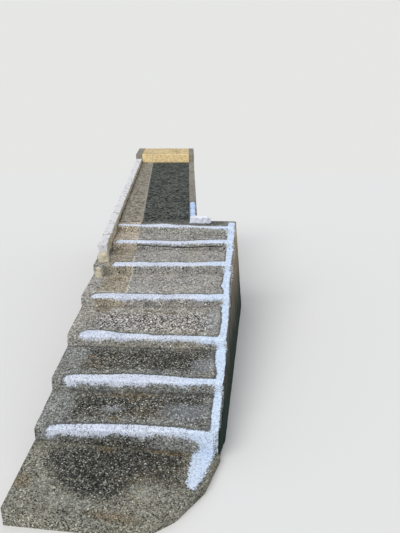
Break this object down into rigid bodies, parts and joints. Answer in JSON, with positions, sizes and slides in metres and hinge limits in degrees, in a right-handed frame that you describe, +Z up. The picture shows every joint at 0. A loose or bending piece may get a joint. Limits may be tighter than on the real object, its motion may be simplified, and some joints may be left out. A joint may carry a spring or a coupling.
{
  "type": "outdoor stone steps",
  "caption": "Low poured-concrete outdoor steps with white painted nosings and edge line, a retaining flank, a side strip, kerb stones, a landing and a sloping walk up to an upper step.",
  "frame": {"origin": "middle of the footprint, on the flat underside", "axes": "+Z up, +Y up the flight from its foot to the upper step, +X to the right of someone climbing"},
  "size_m": [1.7718, 5.6484, 1.6929],
  "materials": {
    "apron_concrete": "worn washed concrete, aggregate showing, pale laitance towards its left and front edges, one white band",
    "tread_concrete": "worn washed concrete with a smooth trowelled border and a white painted nosing",
    "strip_concrete": "paler floated concrete, fine sand showing",
    "walk_concrete": "dark blue-grey brushed concrete, dirty",
    "wall_concrete": "rough cast concrete, rain streaks and dark dirt",
    "fill_concrete": "coarse lean concrete",
    "whitewashed_kerb": "cast kerb stone under chipped matt white paint",
    "whitewashed_mortar": "hand-shaped mortar under matt white paint",
    "edge_stone": "rough broken natural stone"
  },
  "bodies": {
    "root": {"foot_apron": "apron_concrete", "step_1": "tread_concrete", "step_2": "tread_concrete", "step_3": "tread_concrete", "step_4": "tread_concrete", "step_5": "tread_concrete", "step_6": "tread_concrete", "landing": "tread_concrete", "side_strip_4": "strip_concrete", "side_strip_5": "strip_concrete", "side_strip_6": "strip_concrete", "landing_strip": "strip_concrete", "flank_wall": "wall_concrete", "left_wall": "wall_concrete", "landing_end_wall": "wall_concrete", "fill_core": "fill_concrete", "walk_slab": "walk_concrete", "walk_strip": "strip_concrete", "upper_step": "tread_concrete", "upper_strip": "strip_concrete", "walk_left_wall": "wall_concrete", "walk_right_wall": "wall_concrete", "rear_wall": "wall_concrete", "walk_fill": "fill_concrete", "kerb_stone_1": "whitewashed_kerb", "kerb_stone_2": "whitewashed_kerb", "kerb_stone_3": "whitewashed_kerb", "kerb_stone_4": "whitewashed_kerb", "kerb_stone_5": "whitewashed_kerb", "kerb_stone_6": "whitewashed_kerb", "edge_stone_1": "edge_stone", "edge_stone_2": "edge_stone", "corner_kerb_front": "whitewashed_mortar", "corner_kerb_side": "whitewashed_mortar"}
  },
  "joints": []
}
